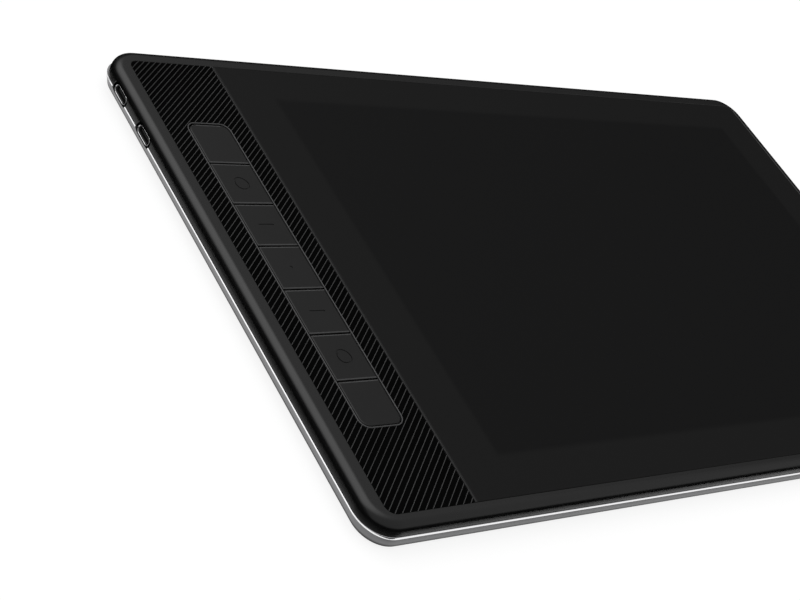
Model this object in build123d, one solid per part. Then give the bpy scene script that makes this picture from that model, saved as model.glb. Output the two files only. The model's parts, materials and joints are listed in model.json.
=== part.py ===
from build123d import *
import os

# A pen display. X runs along the tablet, Y to its far edge, Z up from the plane its feet rest on.
# The origin is on that plane, under the middle of the casing. All sizes are in millimetres.

# Screen, key panel and rims, which set the outline
active_width = 286.5
active_depth = 179.0
border_left = 21.75
border_right = 22.1
border_near = 17.5
border_far = 17.5
panel_width = 38.4
divider_width = 0.8
rim_left = 7.6
rim_right = 5.0
rim_near = 5.0
rim_far = 6.6

# Upper casing
case_corner = 12.8
case_height = 6.0
edge_round = 3.4
case_wall = 1.6
shelf_thick = 1.2
recess_corner = 4.0
tape_thick = 0.1
tape_inset = 1.5

# Aluminium cover under the seam: an upright polished lip, then the two ends draw in
cover_height = 5.2
cover_floor = 1.0
cover_wall = 2.2
cover_lip = 0.2
lip_height = 1.2
lip_edge = 0.1
end_taper = 2.1
side_taper = 0.05
cover_knee = 0.35
rib_width = 0.8
rib_height = 1.2
rib_gap = 16.0

# Clearances shared by all pieces
fit_gap = 0.05
slide_gap = 0.2
overrun = 1.0

# Cover glass and the divider beside the key panel
glass_thick = 1.1
glass_chamfer = 0.2
divider_rise = 0.1

# Ribbed key panel
panel_base = 0.8
ridge_pitch = 2.0
ridge_width = 0.5
ridge_angle = 42
ridge_spread_share = 0.056    # the ridges stand closer towards the far edge
frame_width = 0.7
frame_chamfer = 0.25

# Press keys
key_count = 7
key_pitch = 20.9
key_width = 18.3
key_split = 0.3
key_corner = 3.5
key_travel = 0.5
key_drop = 1.3
key_flange = 0.8
flange_thick = 0.6
key_chamfer = 0.2
strip_centre = 19.4
plunger_side = 2.8
well_gap = 0.3
mark_depth = 0.12
ring_radius = 3.25
ring_line = 0.6
bar_length = 7.0
bar_line = 0.7
dot_radius = 0.6

# Key board and its switches
key_board_half = 14.5
key_board_end = 3.0
key_board_drop = 2.0
board_thick = 0.8
switch_side = 3.6
switch_height = 0.7
key_post_offset = 12.35
key_post_radius = 1.7

# Screen stack, from the glass down
bond_thick = 0.25
panel_side = 4.0
panel_far = 3.5
panel_near = 7.0
panel_ledge = 5.0
panel_glass = 0.6
film_thick = 0.4
guide_thick = 0.9
reflector_thick = 0.2
tray_floor = 0.3
tray_wall = 0.5
tray_inset = 0.1
led_strip_thick = 0.4
led_length = 3.0
led_depth = 0.6
led_count = 24
sensor_inset = 1.2
sensor_thick = 0.5
shield_thick = 0.2
window_gap = 1.0
flex_room = 2.0

# USB-C ports in the left wall
port_from_far = 20.6
port_pitch = 21.8
port_drop = 5.2
port_cut_width = 11.8
port_cut_height = 5.4
port_setback = 0.3
plug_shell_width = 8.94
plug_shell_height = 3.2
plug_shell_wall = 0.3
plug_shell_length = 7.5
mouth_flare = 0.4
mouth_depth = 0.5
tongue_width = 6.7
tongue_thick = 0.7
tongue_length = 4.6
core_block = 2.0

# Main board and what it carries
main_width = 37.0
main_near_gap = 16.2
main_far_gap = 10.6
main_edge = 2.7
standoff_radius = 2.0
standoff_inset = 3.0
chip_side = 14.0
chip_thick = 1.0
memory_width = 10.0
memory_depth = 8.0
can_width = 20.0
can_depth = 14.0
can_height = 1.2
coil_side = 4.0
coil_height = 1.2
coil_pitch = 6.0
coil_count = 4
capacitor_width = 1.6
capacitor_depth = 0.8
capacitor_height = 0.7
capacitor_pitch = 2.4
capacitor_count = 12
socket_width = 12.0
socket_depth = 4.0
socket_height = 1.0
socket_count = 3
socket_pitch = 18.0

# Display driver board
driver_width = 100.0
driver_depth = 15.0
driver_gap = 1.5
cable_width = 5.0
digitizer_flex_y = 22.0
power_flex_width = 4.0
power_flex_inset = 1.0
cable_end = 3.0
flex_thick = 0.12
display_flex_width = 40.0
display_flex_pitch = 52.0
display_flex_bond = 3.0
display_flex_out = 1.2

# Power button on the far wall
power_end = 55.6
power_width = 10.0
power_height = 1.8
power_rise = 1.3
power_proud = 0.4
power_travel = 0.3
power_flange = 0.9
power_flange_thick = 0.6
power_flange_lap = 0.2
power_gap = 0.1
power_switch_width = 4.5
power_switch_depth = 3.5
power_switch_height = 2.4
power_board_width = 14.0
power_board_depth = 24.0

# Fold-out legs in pockets of the cover
leg_width = 26.0
leg_length = 70.0
leg_thick = 2.5
leg_end = 85.6
hinge_from_far = 32.2
leg_sink = 0.15
leg_swing = 2.2
leg_gap = 0.3
pocket_roof = 0.5
pocket_wall = 1.0
finger_notch = 10.0
pin_radius = 0.6
pin_hold = 3.2
pin_cap = 0.6
boss_half = 2.2
leg_rim = 2.2
leg_hollow = 1.2
leg_rib = 1.4
leg_cells = 3
pad_length = 6.0
pad_tongue = 4.0
pad_tongue_thick = 1.0
pad_tongue_inset = 3.0

# Rubber feet
foot_height = 1.2
foot_length = 50.0
foot_width = 8.0
foot_end = 70.6
foot_inset = 12.0
foot_chamfer = 0.3

# Screws and the posts that take them
post_radius = 2.5
post_inset = 7.7
post_end = 14.6
screw_radius = 0.75
screw_hole = 0.8
screw_length = 4.0
screw_head = 1.7
screw_slack = 1.0
head_depth = 0.85
small_screw_radius = 0.6
small_screw_hole = 0.65
small_head_radius = 1.2
small_head = 0.4
small_screw_bite = 1.0
drive_radius = 0.45
drive_depth = 0.25
drive_sides = 6

# Small posts, holes and screws are drawn with this many sides
round_sides = 10
quarter_turn = 90

# Levels worked out from the sizes above
seam_z = foot_height + cover_height
top_z = seam_z + case_height
recess_z = top_z - glass_thick - tape_thick
shelf_z = recess_z - shelf_thick
floor_z = foot_height + cover_floor
glass_z = top_z - glass_thick
lcd_z = glass_z - bond_thick - panel_glass - panel_glass
tray_z = lcd_z - film_thick - guide_thick - reflector_thick - tray_floor
sensor_z = tray_z - sensor_thick
shield_z = sensor_z - shield_thick
port_z = top_z - port_drop
main_top = port_z - plug_shell_height / 2
main_low = main_top - board_thick
key_board_top = shelf_z - key_board_drop
key_board_low = key_board_top - board_thick
flange_top = top_z - key_drop
leg_z = foot_height + leg_sink + leg_thick / 2
roof_z = foot_height + leg_sink + leg_thick + leg_sink
driver_top = main_low + board_thick

# Places worked out from the sizes above
glass_width = border_left + active_width + border_right
glass_depth = border_near + active_depth + border_far
case_width = rim_left + fit_gap + panel_width + divider_width + glass_width + rim_right
case_depth = rim_near + glass_depth + rim_far
wall_x = case_width / 2
wall_y = case_depth / 2
recess_left = rim_left - case_width / 2
recess_right = case_width / 2 - rim_right
recess_near = rim_near - case_depth / 2
recess_far = case_depth / 2 - rim_far
recess_y = (recess_near + recess_far) / 2
divider_left = recess_left + panel_width + fit_gap
divider_right = divider_left + divider_width
key_x = recess_left + strip_centre
strip_length = key_count * key_pitch
active_left = divider_right + border_left
active_near = recess_near + border_near
lcd_left = active_left - panel_side
lcd_right = active_left + active_width + panel_side
lcd_near = active_near - panel_near
lcd_far = active_near + active_depth + panel_far
tray_left = lcd_left + tray_inset
tray_right = lcd_right - tray_inset
tray_near = lcd_near + tray_inset
tray_far = lcd_far - tray_inset
port_places = [wall_y - port_from_far, wall_y - port_from_far - port_pitch]
port_mouth = port_setback - wall_x
main_left = main_edge - wall_x
main_right = main_left + main_width
main_near = main_near_gap - wall_y
main_far = wall_y - main_far_gap
main_x = (main_left + main_right) / 2
key_board_near = recess_y - strip_length / 2 - key_board_end
key_board_far = recess_y + strip_length / 2 + key_board_end
driver_near = tray_near + driver_gap
driver_x = active_left + active_width / 2
driver_y = driver_near + driver_depth / 2
hollow_x = wall_x - cover_wall
hollow_y = wall_y - cover_wall
power_x = power_end - wall_x
leg_x = wall_x - leg_end
hinge_y = wall_y - hinge_from_far
foot_x = wall_x - foot_end
post_x = wall_x - post_end
button_z = seam_z + power_rise
power_face = wall_y - case_wall - power_gap - power_flange_thick - power_travel - power_gap
power_board_far = power_face + power_gap
post_rows = [post_inset - wall_y, wall_y - post_inset]
post_places = [(x, y) for y in post_rows for x in (-post_x, 0, post_x)] + [(post_x, 0)]
key_post_places = [(key_x + side * key_post_offset, recess_y + row * (strip_length - key_pitch) / 2)
                   for side in (-1, 1) for row in (-1, 1)]
foot_y = wall_y - foot_inset
foot_places = [(-foot_x, -foot_y), (foot_x, -foot_y), (-foot_x, foot_y), (foot_x, foot_y)]


def block(left, right, near, far, low, high):
    middle = Pos((left + right) / 2, (near + far) / 2, (low + high) / 2)
    return middle * Box(right - left, far - near, high - low)


def plate(left, right, near, far, low, high, corner):
    outline = RectangleRounded(right - left, far - near, corner)
    return Pos((left + right) / 2, (near + far) / 2, low) * extrude(outline, high - low)


def post(x, y, radius, low, high):
    return Pos(x, y, low) * extrude(RegularPolygon(radius, round_sides), high - low)


def tapered_post(x, y, low_radius, high_radius, low, high):
    outlines = [Pos(x, y, low) * RegularPolygon(low_radius, round_sides),
                Pos(x, y, high) * RegularPolygon(high_radius, round_sides)]
    return loft(outlines, ruled=True)


def rod(left, right, y, z, radius):
    return Pos((left + right) / 2, y, z) * Rot(0, quarter_turn, 0) * Cylinder(radius, right - left)


def slot_along_x(left, right, y, z, width, height):
    outline = Plane.YZ * SlotOverall(width, height)
    return Pos(left, y, z) * extrude(outline, right - left)


def centred_outline(width, depth, corner, height):
    return Pos(0, 0, height) * RectangleRounded(width, depth, corner)


# Upper casing

def case_shell():
    shell = plate(-wall_x, wall_x, -wall_y, wall_y, seam_z, top_z, case_corner)
    shell = fillet(shell.faces().sort_by(Axis.Z)[-1].edges(), edge_round)
    inside_x = wall_x - case_wall
    inside_y = wall_y - case_wall
    shell -= plate(-inside_x, inside_x, -inside_y, inside_y, seam_z - overrun, shelf_z,
                   case_corner - case_wall)
    return shell - plate(recess_left, recess_right, recess_near, recess_far, recess_z, top_z + overrun,
                         recess_corner)


def screen_window(low, high):
    return block(lcd_left - window_gap, lcd_right + window_gap, lcd_near - flex_room, lcd_far + window_gap,
                 low, high)


def shelf_openings():
    screen = screen_window(shelf_z - overrun, recess_z + overrun)
    well_half = key_width / 2 + key_flange + well_gap
    well_end = strip_length / 2 + well_gap
    well = block(key_x - well_half, key_x + well_half, recess_y - well_end, recess_y + well_end,
                 shelf_z - overrun, recess_z + overrun)
    return screen + well


def port_cuts():
    cuts = Part()
    for y in port_places:
        cuts += slot_along_x(-wall_x - overrun, main_left, y, port_z, port_cut_width, port_cut_height)
    return cuts


def power_hole(grow):
    outline = Plane.XZ * SlotOverall(power_width + 2 * grow, power_height + 2 * grow)
    return Pos(power_x, wall_y + overrun, button_z) * extrude(outline, case_wall + overrun + overrun)


def upper_casing():
    case = case_shell() - shelf_openings() - port_cuts() - power_hole(power_gap)
    for x, y in post_places:
        case += post(x, y, post_radius, floor_z, shelf_z)
        case -= post(x, y, screw_hole, floor_z - overrun, floor_z + screw_length)
    for x, y in key_post_places:
        case += post(x, y, key_post_radius, key_board_top, shelf_z)
        case -= post(x, y, small_screw_hole, key_board_top - overrun,
                     key_board_top + small_screw_bite + fit_gap)
    return case


# Bottom cover

def cover_outline(height, end_draw, side_draw, corner):
    width = case_width + 2 * cover_lip - 2 * end_draw
    depth = case_depth + 2 * cover_lip - 2 * side_draw
    return centred_outline(width, depth, corner, height)


def cover_body():
    full = case_corner + cover_lip
    end = end_taper + cover_knee
    side = side_taper + cover_knee
    outlines = [
        cover_outline(foot_height, end, side, full - end),
        cover_outline(foot_height + cover_knee, end_taper, side_taper, full - end_taper),
        cover_outline(seam_z - lip_height, 0, 0, full),
        cover_outline(seam_z - lip_edge, 0, 0, full),
        cover_outline(seam_z, lip_edge, lip_edge, full - lip_edge),
    ]
    body = loft(outlines, ruled=True)
    return body - plate(-hollow_x, hollow_x, -hollow_y, hollow_y, floor_z, seam_z + overrun,
                        case_corner - cover_wall)


def leg_pocket(x):
    half = leg_width / 2 + leg_gap
    near = hinge_y - leg_length - finger_notch
    far = hinge_y + leg_swing
    walls = block(x - half - pocket_wall, x + half + pocket_wall, near - pocket_wall, far + pocket_wall,
                  floor_z, roof_z + pocket_roof)
    bosses = block(x - half - pin_hold - pin_cap, x + half + pin_hold + pin_cap, hinge_y - boss_half,
                   hinge_y + boss_half, floor_z, roof_z + pocket_roof)
    space = block(x - half, x + half, near, far, foot_height - overrun, roof_z)
    space += rod(x - half - pin_hold, x + half + pin_hold, hinge_y, leg_z, pin_radius + fit_gap / 2)
    return walls + bosses, space


def floor_ribs():
    near = driver_near + driver_depth + rib_gap / 4
    far = hinge_y - leg_length - finger_notch - pocket_wall
    count = int((far - near) / rib_gap)
    ribs = Part()
    for step in range(count):
        y = near + rib_gap * (step + 1 / 2)
        ribs += block(main_right + rib_width, hollow_x, y - rib_width / 2, y + rib_width / 2,
                      floor_z, floor_z + rib_height)
    return ribs


def standoff_places():
    places = [(x, y) for x in (main_left + standoff_inset, main_right - standoff_inset)
              for y in (main_near + standoff_inset, main_far - standoff_inset)]
    places += [(x, driver_y) for x in (driver_x - driver_width / 2 + standoff_inset,
                                       driver_x + driver_width / 2 - standoff_inset)]
    places.append((power_x, power_board_far - power_board_depth + standoff_inset))
    return places


def bottom_cover():
    cover = cover_body() + floor_ribs()
    for x in (-leg_x, leg_x):
        walls, space = leg_pocket(x)
        cover = cover + walls - space
    for x, y in standoff_places():
        cover += post(x, y, standoff_radius, floor_z, main_low)
        cover -= post(x, y, small_screw_hole, main_low - small_screw_bite - fit_gap, main_low + overrun)
    for x, y in post_places:
        cover -= post(x, y, screw_slack, foot_height - overrun, floor_z + overrun)
        cover -= tapered_post(x, y, screw_head + fit_gap, screw_slack, foot_height, foot_height + head_depth)
    return cover - port_cuts()


# Key panel, keys and divider

def ridge_stripes():
    reach = (recess_far - recess_near + panel_width) / 2
    count = int(reach / ridge_pitch)
    stripes = []
    for step in range(-count, count + 1):
        along = ridge_pitch * step * (1 - ridge_spread_share * step / count)
        stripes.append(Rot(0, 0, ridge_angle) * Pos(0, along) * Rectangle(2 * reach, ridge_width))
    middle = Pos((recess_left + divider_left) / 2, recess_y)
    return middle * (Sketch() + stripes)


def panel_outline():
    left = recess_left + fit_gap
    right = divider_left - fit_gap
    depth = recess_far - recess_near - 2 * fit_gap
    outline = Pos((left + right) / 2, recess_y) * Rectangle(right - left, depth)
    return fillet(outline.vertices().group_by(Axis.X)[0], recess_corner - fit_gap)


def strip_outline(grow):
    outline = RectangleRounded(key_width + 2 * grow, strip_length + 2 * grow, key_corner + grow)
    return Pos(key_x, recess_y) * outline


def key_panel():
    outline = panel_outline()
    base_z = recess_z + panel_base
    rise = top_z - base_z
    window = strip_outline(slide_gap)
    lip = strip_outline(slide_gap + frame_width)
    base = Pos(0, 0, recess_z) * extrude(outline - window, panel_base)
    ridges = (outline & ridge_stripes()) - lip
    raised = Pos(0, 0, base_z - fit_gap) * extrude(ridges, rise + fit_gap)
    frame = Pos(0, 0, base_z - fit_gap) * extrude(lip - window, rise + fit_gap)
    frame = chamfer(frame.faces().sort_by(Axis.Z)[-1].edges(), frame_chamfer)
    return base + frame + raised


def key_span(index):
    near = recess_y - strip_length / 2 + index * key_pitch
    return near + key_split / 2, near + key_pitch - key_split / 2


def key_mark(index, x, y):
    face = Pos(x, y, top_z - mark_depth)
    depth = mark_depth + overrun
    if index in (1, key_count - 2):
        return face * extrude(Circle(ring_radius) - Circle(ring_radius - ring_line), depth)
    if index in (2, key_count - 3):
        return face * extrude(Rectangle(bar_length, bar_line), depth)
    if index == key_count // 2:
        return face * extrude(RegularPolygon(dot_radius, round_sides), depth)
    return None


def press_key(index):
    near, far = key_span(index)
    y = (near + far) / 2
    cap = Pos(key_x, y) * Rectangle(key_width, far - near)
    if index == 0:
        cap = fillet(cap.vertices().group_by(Axis.Y)[0], key_corner)
    if index == key_count - 1:
        cap = fillet(cap.vertices().group_by(Axis.Y)[-1], key_corner)
    key = Pos(0, 0, flange_top) * extrude(cap, key_drop)
    key = chamfer(key.faces().sort_by(Axis.Z)[-1].edges(), key_chamfer)
    half = key_width / 2 + key_flange
    key += block(key_x - half, key_x + half, near, far, flange_top - flange_thick, flange_top)
    side = plunger_side / 2
    low = key_board_top + switch_height + key_travel + fit_gap
    key += block(key_x - side, key_x + side, y - side, y + side, low, flange_top - flange_thick)
    mark = key_mark(index, key_x, y)
    return key - mark if mark else key


def divider():
    strip = block(divider_left, divider_right, recess_near + fit_gap, recess_far - fit_gap, recess_z,
                  top_z + divider_rise)
    return chamfer(strip.faces().sort_by(Axis.Z)[-1].edges(), divider_rise)


def key_board():
    board = block(key_x - key_board_half, key_x + key_board_half, key_board_near, key_board_far,
                  key_board_low, key_board_top)
    for x, y in key_post_places:
        board -= post(x, y, screw_hole, key_board_low - overrun, key_board_top + overrun)
    return board


def key_switches():
    switches = []
    for index in range(key_count):
        near, far = key_span(index)
        body = Pos(key_x, (near + far) / 2, key_board_top + switch_height / 2)
        body = body * Box(switch_side, switch_side, switch_height)
        switches.append(chamfer(body.faces().sort_by(Axis.Z)[-1].edges(), switch_height / 4))
    return Compound(children=switches)


# Screen stack

def cover_glass():
    left = divider_right + fit_gap
    right = recess_right - fit_gap
    depth = recess_far - recess_near - 2 * fit_gap
    outline = Pos((left + right) / 2, recess_y) * Rectangle(right - left, depth)
    outline = fillet(outline.vertices().group_by(Axis.X)[-1], recess_corner - fit_gap)
    glass = Pos(0, 0, glass_z) * extrude(outline, glass_thick)
    return chamfer(glass.faces().sort_by(Axis.Z)[-1].edges(), glass_chamfer)


def glass_tape():
    tape = block(divider_right + tape_inset, recess_right - tape_inset, recess_near + tape_inset,
                 recess_far - tape_inset, recess_z, glass_z)
    return tape - screen_window(recess_z - overrun, glass_z + overrun)


def optical_bond():
    return block(lcd_left, lcd_right, lcd_near + panel_ledge, lcd_far, glass_z - bond_thick, glass_z)


def lcd_panel():
    rear = block(lcd_left, lcd_right, lcd_near, lcd_far, lcd_z, lcd_z + panel_glass)
    front = block(lcd_left, lcd_right, lcd_near + panel_ledge, lcd_far, lcd_z + panel_glass,
                  lcd_z + panel_glass + panel_glass)
    return rear + front


def tray_layer(low, high):
    side = tray_wall + fit_gap
    near = tray_near + side + led_strip_thick + led_depth + fit_gap
    return block(tray_left + side, tray_right - side, near, tray_far - side, low, high)


def diffuser_films():
    return tray_layer(lcd_z - film_thick, lcd_z)


def light_guide():
    return tray_layer(lcd_z - film_thick - guide_thick, lcd_z - film_thick)


def reflector_sheet():
    return tray_layer(tray_z + tray_floor, tray_z + tray_floor + reflector_thick)


def led_strip():
    low = tray_z + tray_floor + reflector_thick
    near = tray_near + tray_wall + fit_gap
    left = tray_left + tray_wall + led_length
    right = tray_right - tray_wall - led_length
    strip = block(left, right, near, near + led_strip_thick, low, low + guide_thick)
    pitch = (right - left) / led_count
    for index in range(led_count):
        start = left + pitch * (index + 1 / 2) - led_length / 2
        strip += block(start, start + led_length, near + led_strip_thick, near + led_strip_thick + led_depth,
                       low, low + guide_thick)
    return strip


def backlight_frame():
    tray = block(tray_left, tray_right, tray_near, tray_far, tray_z, lcd_z)
    return tray - block(tray_left + tray_wall, tray_right - tray_wall, tray_near + tray_wall,
                        tray_far - tray_wall, tray_z + tray_floor, lcd_z + overrun)


def sensor_sheet(low, high):
    return block(tray_left + sensor_inset, tray_right - sensor_inset, tray_near + sensor_inset,
                 tray_far - sensor_inset, low, high)


def foam_pads():
    half = leg_width / 2
    near = hinge_y - leg_length
    return Compound(children=[block(x - half, x + half, near, hinge_y, roof_z + pocket_roof, shield_z)
                              for x in (-leg_x, leg_x)])


# USB-C ports

def port_shell(y):
    inner_width = plug_shell_width - 2 * plug_shell_wall
    inner_height = plug_shell_height - 2 * plug_shell_wall
    end = port_mouth + plug_shell_length
    shell = slot_along_x(port_mouth, end, y, port_z, plug_shell_width, plug_shell_height)
    shell += slot_along_x(port_mouth, port_mouth + mouth_depth, y, port_z, plug_shell_width + 2 * mouth_flare,
                          plug_shell_height + 2 * mouth_flare)
    return shell - slot_along_x(port_mouth - overrun, end + overrun, y, port_z, inner_width, inner_height)


def port_core(y):
    half_height = plug_shell_height / 2 - plug_shell_wall
    half_width = plug_shell_width / 2 - plug_shell_wall - half_height
    half_tongue = tongue_thick / 2
    end = port_mouth + plug_shell_length
    start = end - core_block
    core = block(start, end, y - half_width, y + half_width, port_z - half_height, port_z + half_height)
    return core + block(start - tongue_length, start + half_tongue, y - tongue_width / 2,
                        y + tongue_width / 2, port_z - half_tongue, port_z + half_tongue)


# Boards, chips and flexes

def holed_board(left, right, near, far, places):
    board = block(left, right, near, far, main_low, main_top)
    for x, y in places:
        board -= post(x, y, screw_hole, main_low - overrun, main_top + overrun)
    return board


def main_board():
    return holed_board(main_left, main_right, main_near, main_far, standoff_places()[:4])


def driver_board():
    left = driver_x - driver_width / 2
    return holed_board(left, left + driver_width, driver_near, driver_near + driver_depth,
                       standoff_places()[4:6])


def power_board():
    left = power_x - power_board_width / 2
    return holed_board(left, left + power_board_width, power_board_far - power_board_depth, power_board_far,
                       standoff_places()[6:])


def scaler_chip():
    half = chip_side / 2
    return block(main_x - half, main_x + half, -half, half, main_low - chip_thick, main_low)


def memory_chip():
    near = chip_side / 2 + socket_depth
    return block(main_x - memory_width / 2, main_x + memory_width / 2, near, near + memory_depth,
                 main_low - chip_thick, main_low)


def shield_cans():
    far = main_far - standoff_inset - standoff_inset
    near = main_near + main_near_gap + cable_width
    spans = [(far - can_depth, far), (near, near + can_depth)]
    cans = []
    for start, end in spans:
        can = block(main_x - can_width / 2, main_x + can_width / 2, start, end,
                    main_low - can_height, main_low)
        cans.append(chamfer(can.faces().sort_by(Axis.Z)[0].edges(), can_height / 4))
    return Compound(children=cans)


def row_of_boxes(count, pitch, x, y, width, depth, low, high):
    boxes = []
    for step in range(count):
        near = y + pitch * (step - (count - 1) / 2) - depth / 2
        boxes.append(block(x - width / 2, x + width / 2, near, near + depth, low, high))
    return Compound(children=boxes)


def power_coils():
    y = -chip_side / 2 - coil_pitch * coil_count / 2 - coil_side
    return row_of_boxes(coil_count, coil_pitch, main_x, y, coil_side, coil_side,
                        main_low - coil_height, main_low)


def capacitors():
    y = chip_side / 2 + socket_depth + memory_depth + capacitor_pitch * capacitor_count / 2
    return row_of_boxes(capacitor_count, capacitor_pitch, main_x, y, capacitor_width, capacitor_depth,
                        main_low - capacitor_height, main_low)


def board_sockets():
    x = main_right - socket_depth
    y = -socket_pitch * (socket_count + 1) / 2
    return row_of_boxes(socket_count, socket_pitch, x, y, socket_depth, socket_width,
                        main_low - socket_height, main_low)


def display_flexes():
    high = lcd_z + panel_glass
    out = lcd_near - display_flex_out
    flexes = []
    for side in (-1, 1):
        x = driver_x + side * display_flex_pitch / 2
        left = x - display_flex_width / 2
        right = x + display_flex_width / 2
        upper = block(left, right, out, lcd_near + display_flex_bond, high, high + flex_thick)
        drop = block(left, right, out, out + flex_thick, driver_top, high + flex_thick)
        lower = block(left, right, out, driver_near + display_flex_bond, driver_top, driver_top + flex_thick)
        flexes.append(upper + drop + lower)
    return Compound(children=flexes)


def display_cable():
    right = driver_x - driver_width / 2 + standoff_inset + standoff_inset + cable_end + cable_width
    left = main_right - cable_end - cable_width
    far = driver_near + driver_depth
    return block(left, right, far - cable_width, far, main_low - flex_thick, main_low)


def digitizer_flex():
    edge = tray_left + sensor_inset
    near = digitizer_flex_y
    step = (edge + main_right) / 2
    upper = block(step, edge + cable_end, near, near + cable_width, shield_z - flex_thick, shield_z)
    drop = block(step, step + flex_thick, near, near + cable_width, main_top, shield_z)
    lower = block(main_right - cable_end, step + flex_thick, near, near + cable_width, main_top,
                  main_top + flex_thick)
    return upper + drop + lower


def key_flex():
    left = key_x - cable_width / 2
    right = left + cable_width
    near = key_board_near + cable_end
    middle = near + cable_width
    bend = middle - flex_thick
    upper = block(left, right, near, middle, key_board_low - flex_thick, key_board_low)
    drop = block(left, right, bend, middle, main_top, key_board_low)
    lower = block(left, right, bend, middle + cable_width, main_top, main_top + flex_thick)
    return upper + drop + lower


def power_flex():
    near = power_board_far - power_board_depth + power_flex_inset
    left = main_right - cable_end
    right = power_x - power_board_width / 2 + cable_end
    return block(left, right, near, near + power_flex_width, main_top, main_top + flex_thick)


# Power button

def power_button():
    depth = wall_y + power_proud - (wall_y - case_wall - power_gap)
    cap = Plane.XZ * SlotOverall(power_width, power_height)
    button = Pos(power_x, wall_y + power_proud, button_z) * extrude(cap, depth)
    button = chamfer(button.faces().sort_by(Axis.Y)[-1].edges(), power_proud / 2)
    inner = wall_y - case_wall - power_gap
    half_width = power_width / 2 + power_flange
    half_height = power_height / 2 + power_gap + power_flange_lap
    return button + block(power_x - half_width, power_x + half_width, inner - power_flange_thick, inner,
                          button_z - half_height, button_z + half_height)


def power_switch():
    half = power_switch_width / 2
    return block(power_x - half, power_x + half, power_face - power_switch_depth, power_face, main_top,
                 main_top + power_switch_height)


# Legs

def leg_plate(x):
    low = leg_z - leg_thick / 2
    high = leg_z + leg_thick / 2
    half = leg_width / 2
    tip = hinge_y - leg_length
    body = block(x - half, x + half, tip + pad_length, hinge_y, low, high)
    body += rod(x - half, x + half, hinge_y, leg_z, leg_thick / 2)
    body += leg_tongue(x, 0)
    near = tip + pad_length + leg_rim
    far = hinge_y - leg_thick
    cell = (far - near - leg_rib * (leg_cells - 1)) / leg_cells
    for index in range(leg_cells):
        start = near + index * (cell + leg_rib)
        body -= block(x - half + leg_rim, x + half - leg_rim, start, start + cell, high - leg_hollow,
                      high + overrun)
    return body - rod(x - half - overrun, x + half + overrun, hinge_y, leg_z, pin_radius + fit_gap)


def leg_tongue(x, grow):
    half = leg_width / 2 - pad_tongue_inset + grow
    start = hinge_y - leg_length + pad_length - pad_tongue - grow
    thick = pad_tongue_thick / 2 + grow
    return block(x - half, x + half, start, hinge_y - leg_length + pad_length, leg_z - thick, leg_z + thick)


def leg_pad(x):
    half = leg_width / 2
    tip = hinge_y - leg_length
    pad = block(x - half, x + half, tip, tip + pad_length, leg_z - leg_thick / 2, leg_z + leg_thick / 2)
    pad = chamfer(pad.faces().sort_by(Axis.Y)[0].edges().filter_by(Axis.X), leg_thick / 4)
    return pad - leg_tongue(x, fit_gap)


def hinge_pin(x):
    half = leg_width / 2 + leg_gap + pin_hold - fit_gap
    return rod(x - half, x + half, hinge_y, leg_z, pin_radius)


# Feet and screws

def rubber_foot(x, y):
    foot = Pos(x, y) * extrude(SlotOverall(foot_length, foot_width), foot_height)
    return chamfer(foot.faces().sort_by(Axis.Z)[0].edges(), foot_chamfer)


def drive_recess(x, y, low, high):
    return Pos(x, y, low) * extrude(RegularPolygon(drive_radius, drive_sides), high - low)


def case_screws():
    screws = []
    for x, y in post_places:
        low = foot_height + fit_gap
        head = tapered_post(x, y, screw_head, screw_radius, low, low + head_depth)
        screw = head + post(x, y, screw_radius, low + head_depth, floor_z + screw_length - fit_gap)
        screws.append(screw - drive_recess(x, y, low - overrun, low + drive_depth))
    return Compound(children=screws)


def board_screws():
    screws = []
    for x, y in standoff_places():
        screw = post(x, y, small_screw_radius, main_low - small_screw_bite, main_top)
        top = main_top + small_head
        screw += post(x, y, small_head_radius, main_top, top)
        screws.append(screw - drive_recess(x, y, top - drive_depth, top + overrun))
    return Compound(children=screws)


def key_board_screws():
    screws = []
    for x, y in key_post_places:
        screw = post(x, y, small_screw_radius, key_board_low, key_board_top + small_screw_bite)
        screw += post(x, y, small_head_radius, key_board_low - small_head, key_board_low)
        low = key_board_low - small_head
        screws.append(screw - drive_recess(x, y, low - overrun, low + drive_depth))
    return Compound(children=screws)


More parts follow.
